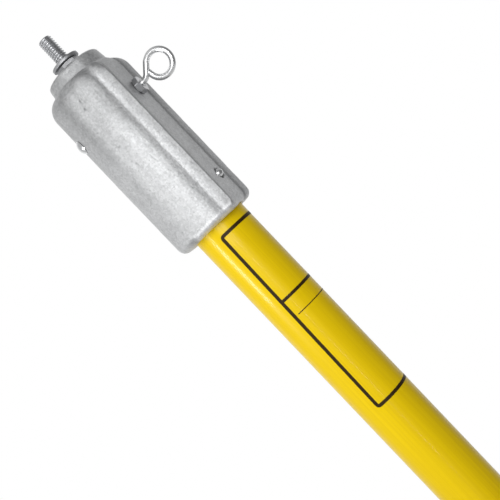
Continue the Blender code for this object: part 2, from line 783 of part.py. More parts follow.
def build_eye_lock_nut():
    nut = build_nut("eye_lock_nut", EYE_NUT_FLATS, EYE_NUT_THICKNESS, EYE_THREAD / 2,
                    EYE_NUT_SEAT)
    pointing(applied(nut), 0.0, EYE_HEIGHT, EYE_NUT_TURN)
    return finish_part(nut, ZINC_PLATE)


def build_insulated_pole():
    build_head_casting()
    build_rivets()
    build_pole_tube()
    build_core()
    build_butt_cap()
    build_tool_stud()
    build_stud_lock_washer()
    build_jam_nut()
    build_seat_washer()
    build_eye_bolt()
    build_eye_lock_nut()


build_insulated_pole()
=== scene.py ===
# %% [markdown]
# # An insulated pole with a cast aluminium head
#
# Line workers hold this pole to reach what they mustn't touch. Its shaft is a yellow
# fibreglass tube filled with foam. The head is sand-cast aluminium, riveted on, and carries a
# threaded stud for a tool and a wire eye for a cord.
#
# The construction model comes first, as a fixed frame: real sizes, joints and bodies. This
# script gives each part its finish and its fine surface, and it moves nothing. All lengths are
# in metres, with +Z along the pole and +X towards the wire eye.

from math import atan2, cos, degrees, exp, floor, hypot, pi, radians, sin, sqrt, tan

import bmesh
import bpy
import numpy as np
from mathutils import Matrix, Vector, noise


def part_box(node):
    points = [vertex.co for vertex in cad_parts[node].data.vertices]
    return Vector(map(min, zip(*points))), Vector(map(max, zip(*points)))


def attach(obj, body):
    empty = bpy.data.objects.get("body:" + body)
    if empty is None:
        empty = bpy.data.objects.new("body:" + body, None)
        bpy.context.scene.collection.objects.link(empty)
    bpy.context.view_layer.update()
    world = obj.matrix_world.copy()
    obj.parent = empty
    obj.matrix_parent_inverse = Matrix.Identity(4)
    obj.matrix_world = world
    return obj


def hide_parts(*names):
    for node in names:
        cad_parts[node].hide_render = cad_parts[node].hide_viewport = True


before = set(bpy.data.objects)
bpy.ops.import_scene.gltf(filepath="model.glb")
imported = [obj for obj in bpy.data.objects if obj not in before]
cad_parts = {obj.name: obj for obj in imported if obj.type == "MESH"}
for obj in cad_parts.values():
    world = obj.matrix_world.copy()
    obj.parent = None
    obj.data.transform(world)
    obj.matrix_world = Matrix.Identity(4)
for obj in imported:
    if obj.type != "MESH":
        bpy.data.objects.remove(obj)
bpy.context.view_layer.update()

MM = 0.001
INCH = 25.4 * MM
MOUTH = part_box("head_casting")[0].z
NOSE_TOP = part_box("head_casting")[1].z
POLE_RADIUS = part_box("pole_tube")[1].x
print(f"{len(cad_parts)} nodes, the casting's mouth is {MOUTH:.4f} m up")

# %% [markdown]
# ## Where the photographer stood
#
# The pole lies across the picture, but in the model it stands upright. Rolling the camera gives
# the same picture and keeps the model in its own frame. The camera looks level at a point just
# below the casting's mouth, from the side that shows the eye in profile.

# %% Camera
CAMERA_AZIMUTH = 18.5
CAMERA_DISTANCE = 0.53
CAMERA_LENS = 73.4
CAMERA_ROLL = -43.6
LOOK_BELOW_MOUTH = 20.6 * MM
LOOK_RIGHT_OF_AXIS = 2.3 * MM

turn = radians(CAMERA_AZIMUTH)
camera_right = Vector((cos(turn), sin(turn), 0.0))
camera_back = Vector((sin(turn), -cos(turn), 0.0))
camera_target = Vector((0.0, 0.0, MOUTH - LOOK_BELOW_MOUTH)) + camera_right * LOOK_RIGHT_OF_AXIS

camera_data = bpy.data.cameras.new("camera")
camera_data.lens = CAMERA_LENS
camera_data.sensor_width = 36.0
camera_data.clip_start = 0.01
camera = bpy.data.objects.new("camera", camera_data)
bpy.context.scene.collection.objects.link(camera)
aim = camera_back.to_track_quat("Z", "Y").to_matrix().to_4x4()
roll = Matrix.Rotation(radians(CAMERA_ROLL), 4, "Z")
camera.matrix_world = (
    Matrix.Translation(camera_target + camera_back * CAMERA_DISTANCE) @ aim @ roll
)
bpy.context.scene.camera = camera
print(f"camera at {[round(v, 3) for v in camera.location]}")

# %% [markdown]
# ## Helpers for colours and nodes
#
# A colour picked from a screen is stored for the eye, not for light. Blender adds up light, so
# each hex colour is turned to linear values once, here. A second helper adds one node with its
# settings and its links, so that a material reads as a short list.

# %% Colour and node helpers


def linear(code):
    """An sRGB hex colour, such as #C8CACC, as linear red, green, blue and alpha."""
    values = []
    for start in (1, 3, 5):
        value = int(code[start:start + 2], 16) / 255
        if value <= 0.04045:
            values.append(value / 12.92)
        else:
            values.append(((value + 0.055) / 1.055) ** 2.4)
    return (*values, 1.0)


def add_node(tree, kind, settings=None, **inputs):
    """Adds a node. Settings are its own choices; inputs are numbers, or outputs to link."""
    node = tree.nodes.new(kind)
    for name, value in (settings or {}).items():
        setattr(node, name, value)
    for name, value in inputs.items():
        wanted = name.replace("_", " ").lower()
        sockets = [s for s in node.inputs if s.name.lower() == wanted and s.enabled]
        if isinstance(value, bpy.types.NodeSocket):
            tree.links.new(value, sockets[0])
        else:
            sockets[0].default_value = value
    return node


def start_material(name, colour, roughness, metallic=0.0):
    """A named material with one Principled shader, which is returned with its tree."""
    material = bpy.data.materials.new(name)
    material.use_nodes = True
    tree = material.node_tree
    shader = tree.nodes["Principled BSDF"]
    shader.inputs["Base Color"].default_value = linear(colour)
    shader.inputs["Roughness"].default_value = roughness
    shader.inputs["Metallic"].default_value = metallic
    return material, tree, shader


def ramp_between(tree, factor, low, high, dark, light):
    """A colour ramp: one colour up to the low position and another from the high one."""
    node = add_node(tree, "ShaderNodeValToRGB", Fac=factor)
    node.color_ramp.elements[0].position = low
    node.color_ramp.elements[0].color = dark
    node.color_ramp.elements[1].position = high
    node.color_ramp.elements[1].color = light
    return node.outputs["Color"]


def add_relief(tree, shader, height, distance, strength):
    """Lets a noise raise and sink a material's surface, as far as a distance in metres."""
    bump = add_node(tree, "ShaderNodeBump", Height=height, Distance=distance, Strength=strength)
    tree.links.new(bump.outputs["Normal"], shader.inputs["Normal"])


def grey(value):
    return (value, value, value, 1.0)


# %% [markdown]
# ## Sand-cast aluminium
#
# Molten aluminium takes the print of the sand it is poured into, so the casting is pale grey,
# matt and grainy. Its crystals, of about a millimetre, shine at slightly different brightness.
# Patches and fine upright streaks show where the metal flowed. A few gas pits show as dark
# points, which is painted shade. Each is a noise at its real size. They are multiplied
# together, and then by a tone that the mesh carries: painted shade in hollows and on some
# sides, and painted light on the mouth's front edge and a few faces.

# %% Sand-cast aluminium
SAND_GRAIN = 0.45 * MM
SAND_RELIEF = 0.12 * MM
CRYSTAL = 0.9 * MM
GAS_PIT = 3.2 * MM
FLOW_WIDTH = 0.6 * MM
FLOW_LENGTH = 7.0 * MM
PATCHES_PER_METRE = (180.0, 180.0, 80.0)  # so each is about 6 mm wide and 12 mm tall

cast_aluminium, tree, shader = start_material("sand_cast_aluminium", "#D0D1D2", 0.55, 1.0)
place = add_node(tree, "ShaderNodeTexCoord").outputs["Object"]
grain = add_node(tree, "ShaderNodeTexNoise", Vector=place, Scale=1 / SAND_GRAIN,
                 Detail=3.0, Roughness=0.6)
crystals = add_node(tree, "ShaderNodeTexVoronoi", Vector=place, Scale=1 / CRYSTAL)
crystal_colour = add_node(tree, "ShaderNodeSeparateColor", Color=crystals.outputs["Color"])
slow = add_node(tree, "ShaderNodeMapping", Vector=place, Scale=PATCHES_PER_METRE)
patches = add_node(tree, "ShaderNodeTexNoise", Vector=slow.outputs[0], Scale=1.0, Detail=3.0)
pits = add_node(tree, "ShaderNodeTexVoronoi", Vector=place, Scale=1 / GAS_PIT)
flow = add_node(tree, "ShaderNodeMapping", Vector=place,
                Scale=(1 / FLOW_WIDTH, 1 / FLOW_WIDTH, 1 / FLOW_LENGTH))
streaks = add_node(tree, "ShaderNodeTexNoise", Vector=flow.outputs[0], Scale=1.0, Detail=2.0)
# The tone on the mesh is painted light and shade that follows the casting's shape.
painted_light_on_mesh = add_node(tree, "ShaderNodeAttribute", {"attribute_name": "tone"})

colour = ramp_between(tree, crystal_colour.outputs[0], 0.0, 1.0, linear("#C6C7C8"),
                      linear("#DCDDDE"))
layers = (
    ramp_between(tree, patches.outputs["Fac"], 0.4, 0.6, grey(0.93), grey(1.0)),
    # Painted shade: dark points for gas pits.
    ramp_between(tree, pits.outputs["Distance"], 0.05, 0.13, grey(0.7), grey(1.0)),
    ramp_between(tree, streaks.outputs["Fac"], 0.3, 0.7, grey(0.93), grey(1.0)),
    painted_light_on_mesh.outputs["Fac"],
)
for layer in layers:
    product = add_node(tree, "ShaderNodeMix", {"data_type": "RGBA", "blend_type": "MULTIPLY"},
                       Factor=1.0, A=colour, B=layer)
    colour = product.outputs[2]
tree.links.new(colour, shader.inputs["Base Color"])
gloss = add_node(tree, "ShaderNodeMapRange", Value=grain.outputs["Fac"], To_Min=0.5,
                 To_Max=0.68)
tree.links.new(gloss.outputs[0], shader.inputs["Roughness"])
add_relief(tree, shader, grain.outputs["Fac"], SAND_RELIEF, 0.8)

# %% [markdown]
# ## Plated steel, bright wire and drawn aluminium
#
# The stud, nuts and washer are steel with a thin coat of zinc: silver-grey and satin. The jam
# nut and its washer have gone dull and mottled from tightening, while the eye's nut has kept
# its shine. The eye is drawn wire, so its zinc is smoother and mirrors its surroundings. The
# rivets are soft drawn aluminium, pressed shiny by the riveting tool. All five share one
# recipe with different numbers.

# %% Plated and drawn metals
DENT_DEPTH = 0.005 * MM


def plated_metal(name, colour, dull, bright, mottle, dents=0.4):
    """A metal whose roughness wanders between two values over patches, with faint dents."""
    material, tree, shader = start_material(name, colour, (dull + bright) / 2, 1.0)
    place = add_node(tree, "ShaderNodeTexCoord").outputs["Object"]
    wander = add_node(tree, "ShaderNodeTexNoise", Vector=place, Scale=1 / mottle, Detail=2.0,
                      Roughness=0.5)
    gloss = add_node(tree, "ShaderNodeMapRange", Value=wander.outputs["Fac"], From_Min=0.3,
                     From_Max=0.7, To_Min=bright, To_Max=dull)
    tree.links.new(gloss.outputs[0], shader.inputs["Roughness"])
    add_relief(tree, shader, wander.outputs["Fac"], DENT_DEPTH, dents)
    return material


zinc_plate = plated_metal("zinc_plated_steel", "#C6C7C9", 0.43, 0.41, 4.0 * MM, 0.0)
bright_wire = plated_metal("bright_zinc_wire", "#EDEEEF", 0.28, 0.25, 8.0 * MM, 0.0)
dull_zinc = plated_metal("dull_zinc_plate", "#B0B1B3", 0.6, 0.48, 1.2 * MM)
nut_zinc = plated_metal("bright_zinc_nut", "#BFC0C2", 0.38, 0.3, 2.0 * MM)
rivet_metal = plated_metal("drawn_aluminium", "#E2E3E4", 0.3, 0.2, 2.0 * MM)

# %% [markdown]
# ## Yellow gel coat over pultruded fibreglass
#
# The tube is drawn through a die, glass fibres and all, and its skin is glossy pigmented
# resin. Close up, the fibres just under the skin make faint streaks along the pole, and the
# skin is not quite flat. Stretching a noise along Z draws the streaks: 0.8 mm wide and 80 mm
# long. The gloss comes from a thin smooth coat over a satin body.

# %% Yellow gel coat
STREAK_WIDTH = 0.8 * MM
STREAK_LENGTH = 80.0 * MM
SKIN_WAVE = 6.0 * MM
SKIN_RELIEF = 0.03 * MM

gel_coat, tree, shader = start_material("yellow_gel_coat", "#EECB00", 0.3)
place = add_node(tree, "ShaderNodeTexCoord").outputs["Object"]
stretch = add_node(tree, "ShaderNodeMapping", Vector=place,
                   Scale=(1 / STREAK_WIDTH, 1 / STREAK_WIDTH, 1 / STREAK_LENGTH))
fibres = add_node(tree, "ShaderNodeTexNoise", Vector=stretch.outputs[0], Scale=1.0, Detail=2.0)
streaked = ramp_between(tree, fibres.outputs["Fac"], 0.3, 0.7, linear("#E9C500"),
                        linear("#F2CF00"))
tree.links.new(streaked, shader.inputs["Base Color"])
wave = add_node(tree, "ShaderNodeTexNoise", Vector=place, Scale=1 / SKIN_WAVE, Detail=1.0)
add_relief(tree, shader, wave.outputs["Fac"], SKIN_RELIEF, 0.4)
shader.inputs["Specular IOR Level"].default_value = 0.16
shader.inputs["Coat Weight"].default_value = 0.15
shader.inputs["Coat Roughness"].default_value = 0.06

# %% [markdown]
# ## Ink, rubber, foam and resin
#
# The frame on the pole is screen-printed in brown-black ink. The butt cap is moulded rubber
# with a fine matt skin. The foam and the plugs are closed inside the tube, and still get the
# look they'd have on a bench: open cells of about a millimetre, and filled resin.

# %% Ink, rubber, foam and resin


def grained(name, dark, light, roughness, grain_size, height):
    """A matt material whose colour and height follow one noise."""
    material, tree, shader = start_material(name, light, roughness)
    place = add_node(tree, "ShaderNodeTexCoord").outputs["Object"]
    speckle = add_node(tree, "ShaderNodeTexNoise", Vector=place, Scale=1 / grain_size,
                       Detail=3.0)
    colour = ramp_between(tree, speckle.outputs["Fac"], 0.35, 0.65, linear(dark), linear(light))
    tree.links.new(colour, shader.inputs["Base Color"])
    add_relief(tree, shader, speckle.outputs["Fac"], height, 0.6)
    return material


printing_ink = grained("screen_printed_ink", "#281B04", "#382706", 0.5, 0.6 * MM, 0.01 * MM)
printing_ink.node_tree.nodes["Principled BSDF"].inputs["Specular IOR Level"].default_value = 0.2
moulded_rubber = grained("moulded_rubber", "#141414", "#1E1E1F", 0.62, 0.35 * MM, 0.05 * MM)
closed_cell_foam = grained("closed_cell_foam", "#CDBD90", "#E8DDBB", 0.9, 1.0 * MM, 0.5 * MM)
filled_resin = grained("filled_resin", "#B7A67A", "#C6B78E", 0.5, 0.7 * MM, 0.05 * MM)

# %% [markdown]
# ## Mesh helpers
#
# A turned part is one outline swept round an axis. A threaded rod's radius also depends on the
# angle, so it is skinned over rings of points instead, and so are nuts and bent wire. Each
# piece is made near the origin and then moved up the pole, because 32-bit numbers are finest
# near zero.

# %% Mesh helpers


def skin(name, rings, joined=False):
    """A closed mesh over rings of equal count: the ends are capped, or joined to each other."""
    count = len(rings[0])
    points = [point for ring in rings for point in ring]
    faces = []
    last = len(rings) if joined else len(rings) - 1
    for row in range(last):
        low = row * count
        high = ((row + 1) % len(rings)) * count
        for i in range(count):
            j = (i + 1) % count
            faces.append((low + i, low + j, high + j, high + i))
    if not joined:
        faces.append(tuple(reversed(range(count))))
        top = (len(rings) - 1) * count
        faces.append(tuple(range(top, top + count)))
    mesh = bpy.data.meshes.new(name)
    mesh.from_pydata(points, [], faces)
    work = bmesh.new()
    work.from_mesh(mesh)
    bmesh.ops.recalc_face_normals(work, faces=work.faces)
    work.to_mesh(mesh)
    work.free()
    return mesh


def turned(name, outline, steps=96):
    """A solid of revolution about Z from a closed or axis-to-axis outline of (radius, height)."""
    work = bmesh.new()
    points = [work.verts.new((radius, 0.0, height)) for radius, height in outline]
    edges = [work.edges.new(pair) for pair in zip(points, points[1:])]
    if min(radius for radius, height in outline) > 0.0:
        edges.append(work.edges.new((points[-1], points[0])))
    bmesh.ops.spin(work, geom=points + edges, axis=(0, 0, 1), cent=(0, 0, 0), angle=2 * pi,
                   steps=steps, use_merge=True)
    bmesh.ops.remove_doubles(work, verts=work.verts, dist=0.0001 * MM)
    bmesh.ops.recalc_face_normals(work, faces=work.faces)
    mesh = bpy.data.meshes.new(name)
    work.to_mesh(mesh)
    work.free()
    return mesh


def arc(centre_r, centre_z, radius, start, end, count):
    """Points of a round edge in an outline, between two angles in degrees."""
    points = []
    for i in range(count + 1):
        angle = radians(start + (end - start) * i / count)
        points.append((centre_r + radius * cos(angle), centre_z + radius * sin(angle)))
    return points


def place_piece(name, mesh, material, body, replaced=(), height=MOUTH, turn=None,
                sharp=40.0):
    """Puts a mesh up the pole, turned if asked, as a piece that rides on a body."""
    if turn is not None:
        mesh.transform(turn)
    mesh.transform(Matrix.Translation((0.0, 0.0, height)))
    mesh.materials.clear()
    mesh.materials.append(material)
    mesh.shade_smooth()
    mesh.set_sharp_from_angle(angle=radians(sharp))
    piece = bpy.data.objects.new(name, mesh)
    bpy.context.scene.collection.objects.link(piece)
    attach(piece, body)
    if replaced:
        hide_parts(*replaced)
    print(f"{name}: {len(mesh.vertices)} points")
    return piece


def welded_copy(node):
    """A frame node's mesh near the origin, with its split corners joined again."""
    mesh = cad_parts[node].data.copy()
    work = bmesh.new()
    work.from_mesh(mesh)
    bmesh.ops.remove_doubles(work, verts=work.verts, dist=0.002 * MM)
    bmesh.ops.translate(work, vec=(0.0, 0.0, -MOUTH), verts=work.verts)
    work.to_mesh(mesh)
    work.free()
    while mesh.attributes.get("custom_normal"):
        mesh.attributes.remove(mesh.attributes["custom_normal"])
    return mesh


# %% [markdown]
# ## The casting's skin
#
# The frame's casting has the right panels, nose and holes, but its edges are knife-sharp and
# its faces are flat. Sand casting rounds every edge by a few tenths of a millimetre and prints
# the sand. A voxel remesh gives the copy an even net of small squares, and a smooth rounds its
# edges. Each point of the outer wall is then pushed along its normal by a few layers of noise:
# slow waves from the pattern, sand grains, and sparse pits.

# %% The casting's skin
VOXEL = 0.48 * MM
EASE_STEPS = 2
WAVE_LENGTH = 11.0 * MM
WAVE_DEPTH = 0.09 * MM
PRINT_DEPTH = 0.035 * MM
COARSE_GRAIN = 1.6 * MM
FINE_GRAIN = 0.9 * MM
PIT_SPACING = 1.7 * MM
PIT_LEVEL = 0.42  # of its noise, above which a pit opens
PIT_DEPTH = 0.1 * MM


def remeshed(mesh):
    """The mesh rebuilt from even squares, with its edges eased."""
    holder = bpy.data.objects.new("remesh_holder", mesh)
    bpy.context.scene.collection.objects.link(holder)
    grid = holder.modifiers.new("grid", "REMESH")
    grid.mode = "VOXEL"
    grid.voxel_size = VOXEL
    easing = holder.modifiers.new("easing", "SMOOTH")
    easing.factor = 0.5
    easing.iterations = EASE_STEPS
    bpy.context.view_layer.update()
    result = bpy.data.meshes.new_from_object(
        holder.evaluated_get(bpy.context.evaluated_depsgraph_get()))
    bpy.data.objects.remove(holder)
    return result


def sand_print(point):
    """How far the sand pushed the wall out at a point, in metres."""
    wave = noise.noise(point / WAVE_LENGTH) * WAVE_DEPTH
    coarse = noise.noise(point / COARSE_GRAIN) * PRINT_DEPTH
    fine = noise.noise(point / FINE_GRAIN + Vector((7, 3, 5))) * PRINT_DEPTH
    pit_field = noise.noise(point / PIT_SPACING + Vector((31, 17, 3)))
    pit = max(pit_field - PIT_LEVEL, 0.0) / 0.3 * PIT_DEPTH
    return wave + coarse + fine - pit


# %% [markdown]
# ## The casting's shallow forms
#
# Some forms of the casting are less than a millimetre deep, and are scraped into the net of
# squares as a pattern maker would scrape them into the pattern: the groove and ridge of the
# front panel, the seams where its tongue and side strip run up to the nose, cold marks where
# the metal froze before it closed, and the step of the lobe behind the eye. Each is a small
# function of the angle round the casting and of the height. Every point also gets a tone, kept
# on the mesh for the material: painted shade in the hollows and on some sides, and painted
# light on the mouth's front edge, the spot face's rim and a few faces.

# %% Helpers that fade a form in and out
PANEL_MIDDLE = -71.5  # degrees round the casting, the direction of the front panel's middle
PANEL_RADIUS = 24.0 * MM
HEAD_RADIUS = 25.0 * MM


def ease(value, start, end):
    """0 before the start and 1 past the end, with a smooth climb between."""
    share = min(max((value - start) / (end - start), 0.0), 1.0)
    return share * share * (3 - 2 * share)


def hump(value, middle, half_width):
    """1 at the middle, falling away on both sides."""
    return exp(-(((value - middle) / half_width) ** 2))


def from_panel_middle(x, y):
    """Degrees from the middle of the nearer panel; the back panel mirrors the front one."""
    angle = (degrees(atan2(y, x)) - PANEL_MIDDLE + 180) % 360 - 180
    if abs(angle) > 90:
        angle = (180 - angle + 180) % 360 - 180
    return angle


# %% Groove, ridge and mouth of the front panel
GROOVE_START = 7.0  # these angles are measured from a panel's middle
GROOVE_ANGLE = 17.0
GROOVE_DEEPER = 0.2 * MM
RIDGE_ANGLE = 31.3
RIDGE_RISE = 0.65 * MM
SHOULDER_START = 90.0 * MM
SHOULDER_END = 101.0 * MM
MOUTH_FILLET = 4.6 * MM
MOUTH_FILL = 1.0 * MM  # the front panel runs down nearer to the mouth than the sides


def panel_push(angle, z):
    """How much the groove is sunk and the ridge raised, below the shoulder."""
    if not GROOVE_START < angle < RIDGE_ANGLE:
        return 0.0
    below_shoulder = 1 - ease(z, SHOULDER_START, SHOULDER_END)
    if angle < GROOVE_ANGLE:
        share = (angle - GROOVE_START) / (GROOVE_ANGLE - GROOVE_START)
        return -GROOVE_DEEPER * share * below_shoulder
    share = (angle - GROOVE_ANGLE) / (RIDGE_ANGLE - GROOVE_ANGLE)
    climb = (GROOVE_DEEPER + RIDGE_RISE) * share ** 1.2 - GROOVE_DEEPER
    return climb * below_shoulder


def mouth_share(angle, z):
    """How far a point lies into the front of the mouth's rounded edge, from 0 to 1."""
    if z > MOUTH_FILLET or not -40 < angle < RIDGE_ANGLE:
        return 0.0
    return (1 - z / MOUTH_FILLET) * ease(angle, -40, -25) * ease(RIDGE_ANGLE - angle, 0, 3)


# %% Seams and cold marks
# Each point of a seam is (degrees from the panel's middle, millimetres above the mouth)
TONGUE_SEAM = ((-24, 56), (-23.4, 78.6), (-20.9, 91), (-17.9, 98.4), (-13.8, 101.2),
               (-5.4, 102.6), (6.3, 101.5), (12.2, 98.4), (14.3, 92.5), (14.6, 84))
STRIP_SEAM = ((14.6, 84), (16.1, 94.6), (19.9, 99), (26.6, 101), (32.7, 100.5), (34.7, 97.5),
              (33.8, 91), (33.6, 80))
SEAM_DEPTH = 0.12 * MM
SEAM_REACH = 1.0 * MM
# A cold mark is (degrees, millimetres above the mouth, half its width, half its height)
COLD_MARKS = ((-19.7, 91.5, 0.5, 1.1), (-22.6, 87.0, 0.8, 0.5), (-24.0, 61.5, 0.8, 0.4),
              (-22.0, 49.5, 0.45, 1.4), (-25.0, 52.0, 0.6, 0.4))
MARK_DEPTH = 0.25 * MM


def line_nearness(angle, z, line):
    """1 on a seam, falling to 0 beside it."""
    x = radians(angle) * PANEL_RADIUS
    best = 1.0
    for (a, low), (b, high) in zip(line, line[1:]):
        ax, az = radians(a) * PANEL_RADIUS, low * MM
        bx, bz = radians(b) * PANEL_RADIUS, high * MM
        dx, dz = bx - ax, bz - az
        share = min(max(((x - ax) * dx + (z - az) * dz) / (dx * dx + dz * dz), 0.0), 1.0)
        best = min(best, hypot(x - ax - dx * share, z - az - dz * share))
    return exp(-((best / SEAM_REACH) ** 2))


def seam_share(angle, z):
    """The nearer of the two seams, each fading out down the panel."""
    if z < 50 * MM or not -30 < angle < 38:
        return 0.0
    tongue = line_nearness(angle, z, TONGUE_SEAM) * ease(z, 60 * MM, 100 * MM)
    strip = line_nearness(angle, z, STRIP_SEAM) * ease(z, 82 * MM, 96 * MM)
    return max(tongue, strip)


def cold_mark_share(angle, z):
    share = 0.0
    for mark_angle, mark_z, half_width, half_height in COLD_MARKS:
        across = radians(angle - mark_angle) * HEAD_RADIUS / (half_width * MM)
        share += exp(-(across ** 2) - ((z - mark_z * MM) / (half_height * MM)) ** 2)
    return share


# %% The lobe behind the eye, and the lower rivet's spot face
LOBE_START = 23.2  # degrees from +X, where the back lobe stands proud of the eye bolt's flat
LOBE_REACH = 16.0
LOBE_TOP = 104.0 * MM
LOBE_RISE = 0.6 * MM
CREASE_ANGLE = LOBE_START - 2.4
CREASE_HALF_WIDTH = 1.3
CREASE_DEPTH = 0.1 * MM
FLAT_X = 19.1 * MM
FLAT_SIDE_X = 16.0 * MM  # only the side with the flat reaches past this
SPOT_Y = 0.9 * MM
SPOT_Z = 19.2 * MM
SPOT_HALF_Y = 4.2 * MM
SPOT_HALF_Z = 3.5 * MM
SPOT_FLOOR = 17.6 * MM
SPOT_RIM = 1.3  # the flat is made good up to this many times the spot's size
# The tone in the spot face's recess: painted shade.
SPOT_PAINTED_SHADE = 0.3


def lobe_step(azimuth, z):
    """The push of the lobe with its crease, and the crease's share."""
    if abs(azimuth - LOBE_START) > LOBE_REACH or z > LOBE_TOP:
        return 0.0, 0.0
    rise = ease(azimuth, LOBE_START - 1, LOBE_START + 1) * (1 - ease(azimuth, 27, 38))
    crease = hump(azimuth, CREASE_ANGLE, CREASE_HALF_WIDTH)
    push = LOBE_RISE * rise * (1 - ease(z, LOBE_TOP - 4 * MM, LOBE_TOP))
    return push - CREASE_DEPTH * crease, crease


# %% Painted light and shade on the metal, and all forms together


def painted_light_and_shade(angle, z):
    """1 for the metal's own colour, less where shade is painted and more where light is painted.
    """
    # Painted shade towards the top, on the left side, high on the panel, on the ridge and just
    # past it; painted light in the groove and on the nose's side.
    towards_top = 0.1 * ease(z, 45 * MM, 90 * MM)
    left_side = 0.2 * hump(angle, -40, 10) * (1 - ease(z, 92 * MM, 104 * MM))
    panel_top = 0.15 * hump(angle, 1, 9) * ease(z, 55 * MM, 75 * MM)
    groove = 0.1 * hump(angle, GROOVE_ANGLE - 1, 4)
    ridge = 0.08 * hump(angle, RIDGE_ANGLE - 6, 4)
    past_ridge = 0.2 * hump(angle, RIDGE_ANGLE + 3.2, 1.6) * (1 - ease(z, 98 * MM, 102 * MM))
    nose_side = 0.12 * ease(angle, 8, 20) * ease(z, SHOULDER_END, 106 * MM)
    return 1 - towards_top - left_side - panel_top + groove - ridge - past_ridge + nose_side


def carved(x, y, z):
    """Where a point of the outer wall moves to, and the painted light and shade there."""
    angle = from_panel_middle(x, y)
    seam = seam_share(angle, z)
    mark = cold_mark_share(angle, z)
    mouth = mouth_share(angle, z)
    push, crease = lobe_step(degrees(atan2(y, x)), z)
    push += panel_push(angle, z) + MOUTH_FILL * min(mouth * 1.6, 1.0)
    push -= SEAM_DEPTH * seam + MARK_DEPTH * mark
    # Painted light on the front of the mouth's rounded edge.
    tone = painted_light_and_shade(angle, z) + 0.3 * min(mouth * 2.5, 1.0)
    # Painted shade in the seams, the cold marks and the crease.
    tone -= 0.07 * seam + 0.3 * mark + 0.05 * crease
    radius = hypot(x, y)
    x, y = x * (1 + push / radius), y * (1 + push / radius)
    spot = hypot((y - SPOT_Y) / SPOT_HALF_Y, (z - SPOT_Z) / SPOT_HALF_Z)
    if x > FLAT_SIDE_X and spot < 1:
        x = min(x, SPOT_FLOOR)
        # Painted shade in the spot face's recess.
        tone = SPOT_PAINTED_SHADE
    elif x > FLAT_SIDE_X and spot < SPOT_RIM:
        x = max(x, FLAT_X - 0.1 * MM)
        # Painted light on the far side of the spot face's rim.
        tone += 0.3 * (SPOT_RIM - spot) / (SPOT_RIM - 1) * ease(y, 0.0, 3 * MM)
    return x, y, tone


# %% Build the cast head
WALL_MIDDLE = POLE_RADIUS + 2.0 * MM  # what lies outside this radius is outer wall
NOSE_INNER = 14.0 * MM  # the same for the nose
NOSE_LENGTH = 12.0 * MM


def cast_head():
    mesh = remeshed(welded_copy("head_casting"))
    count = len(mesh.vertices)
    points = np.empty((count, 3))
    mesh.vertices.foreach_get("co", points.ravel())
    normals = np.empty((count, 3))
    mesh.vertex_normals.foreach_get("vector", normals.ravel())
    radii = np.hypot(points[:, 0], points[:, 1])
    nose_top = NOSE_TOP - MOUTH
    on_nose = (points[:, 2] > nose_top - NOSE_LENGTH) & (radii > NOSE_INNER)
    on_top = points[:, 2] > nose_top - 1.0 * MM
    push = np.zeros(count)
    painted_shading = np.ones(count)
    for i in np.flatnonzero((radii > WALL_MIDDLE) | on_nose | on_top):
        push[i] = sand_print(Vector(points[i]))
        x, y, painted_shading[i] = carved(*points[i])
        points[i][0], points[i][1] = x, y
    points += normals * push[:, None]
    mesh.vertices.foreach_set("co", points.ravel())
    # The tone attribute holds painted light and shade for the material.
    mesh.attributes.new("tone", "FLOAT", "POINT").data.foreach_set("value", painted_shading)
    mesh.update()
    print(f"tones of the casting: {painted_shading.min():.2f} to {painted_shading.max():.2f}")
    return mesh


place_piece("cast_head", cast_head(), cast_aluminium, "pole",
            ["head_casting"], sharp=180.0)

# %% [markdown]
# ## Threads
#
# A unified thread is a V of 60 degrees with a flat crest an eighth of the pitch wide. Along one
# line of the rod it repeats every pitch, and it shifts by one pitch for each turn. So the radius
# at any angle and height comes from one number, the phase, and the rod is skinned over it.

# %% Thread helper


def thread_sink(angle, height, pitch):
    """Depth of a right-hand thread below its crest, in pitches, at an angle and a height."""
    phase = height / pitch - angle / (2 * pi)
    from_crest = abs(phase - floor(phase + 0.5))
    share = (from_crest - 1 / 16) / (5 / 16)
    return 0.54 * min(max(share, 0.0), 1.0)


def threaded_rings(radius, pitch, bottom, top, steps=64, rows_per_turn=12, chamfer=0.0):
    """Rings of a threaded rod, with both ends turned down by the chamfer."""
    rows = round((top - bottom) / pitch * rows_per_turn)
    rings = []
    for row in range(rows + 1):
        height = bottom + (top - bottom) * row / rows
        to_end = min(top - height, height - bottom)
        cone = radius - max(chamfer - to_end, 0.0)
        ring = []
        for i in range(steps):
            angle = 2 * pi * i / steps
            r = min(radius - pitch * thread_sink(angle, height, pitch), cone)
            ring.append((r * cos(angle), r * sin(angle), height))
        rings.append(ring)
    return rings


# %% [markdown]
# ## Nuts, screw head and washer
#
# A nut is cut from hexagon bar and its corners are turned off at 30 degrees, which leaves the
# curved edges on its sides. Going once round the nut, the outline at each angle is the same
# list of points with a different corner distance, so a nut is skinned too, with its first and
# last rings joined through the bore.

# %% Hexagon helpers
HEXAGON_CORNER = 0.12 * MM  # how far the corners are rounded off
CORNER_SLOPE = tan(radians(30.0))
FACE_SHARE = 0.97  # of the distance across flats, what the turning leaves as a flat face
BORE_LEAD = 0.35 * MM
BORE_CLEARANCE = 0.05 * MM
SIDE_OFFSETS = (-29, -25, -20, -15, -10, -6, -3.5, -1.8, 0, 1.8, 3.5, 6, 10, 15, 20, 25, 29)


def hexagon_reach(angle, flats):
    """Distance from the middle of a hexagon to its side at an angle, corners eased."""
    sixth = (angle + pi / 6) % (pi / 3) - pi / 6
    corner = flats / sqrt(3.0) - HEXAGON_CORNER
    return min(flats / 2 / cos(pi / 6 - abs(sixth)), corner)


def hexagon_ring(radius_at, height_at):
    """Points round a hexagon with a corner at 0, closer together beside the corners."""
    points = []
    for side in range(6):
        for offset in SIDE_OFFSETS:
            angle = radians(60 * side + offset)
            r = radius_at(angle)
            points.append((r * cos(angle), r * sin(angle), height_at(r)))
    return points


def round_ring(radius, height):
    return hexagon_ring(lambda angle: radius, lambda r: height)


